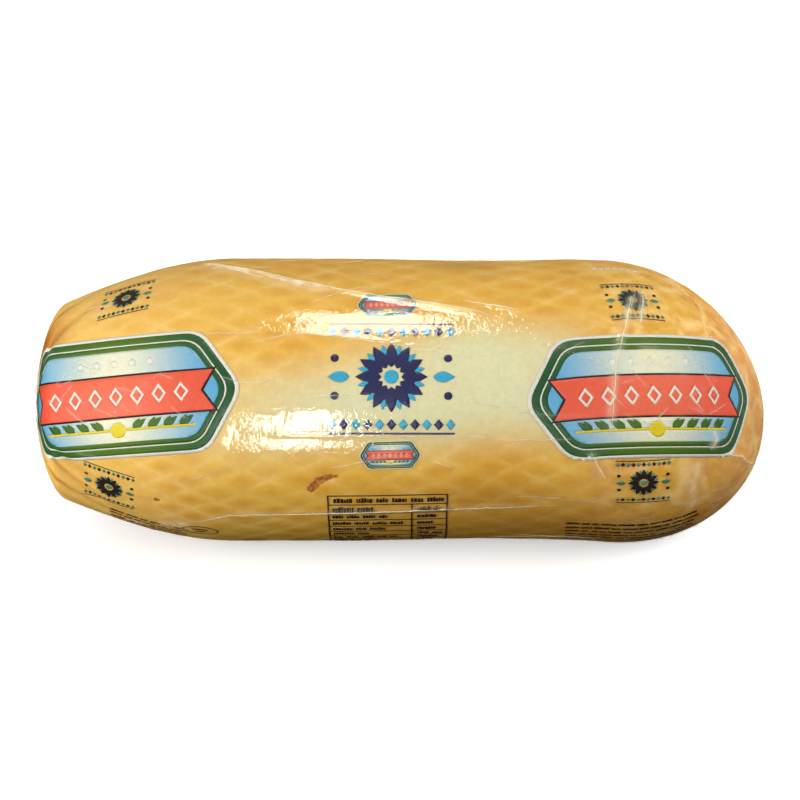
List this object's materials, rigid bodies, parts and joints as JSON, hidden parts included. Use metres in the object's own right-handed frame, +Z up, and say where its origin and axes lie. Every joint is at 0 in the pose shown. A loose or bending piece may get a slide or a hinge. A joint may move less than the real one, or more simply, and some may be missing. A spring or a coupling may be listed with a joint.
{
  "type": "scamorza",
  "caption": "Log of smoked scamorza cheese, gathered blunt at one end and rounded at the other, wrapped tight in clear printed film, lying on its side.",
  "frame": {"origin": "on the floor, below the middle of the log's box", "axes": "+X along the log to its rounded end, +Y to the back, away from the pictured side, +Z up"},
  "size_m": [0.282, 0.1134, 0.1065],
  "materials": {
    "cheese_under_film": "golden smoked rind under clear glossy film",
    "clear_film": "clear glossy shrink film",
    "print_ink": "printed ink under gloss"
  },
  "bodies": {
    "root": {"wrapped_scamorza": "cheese_under_film"}
  },
  "joints": []
}
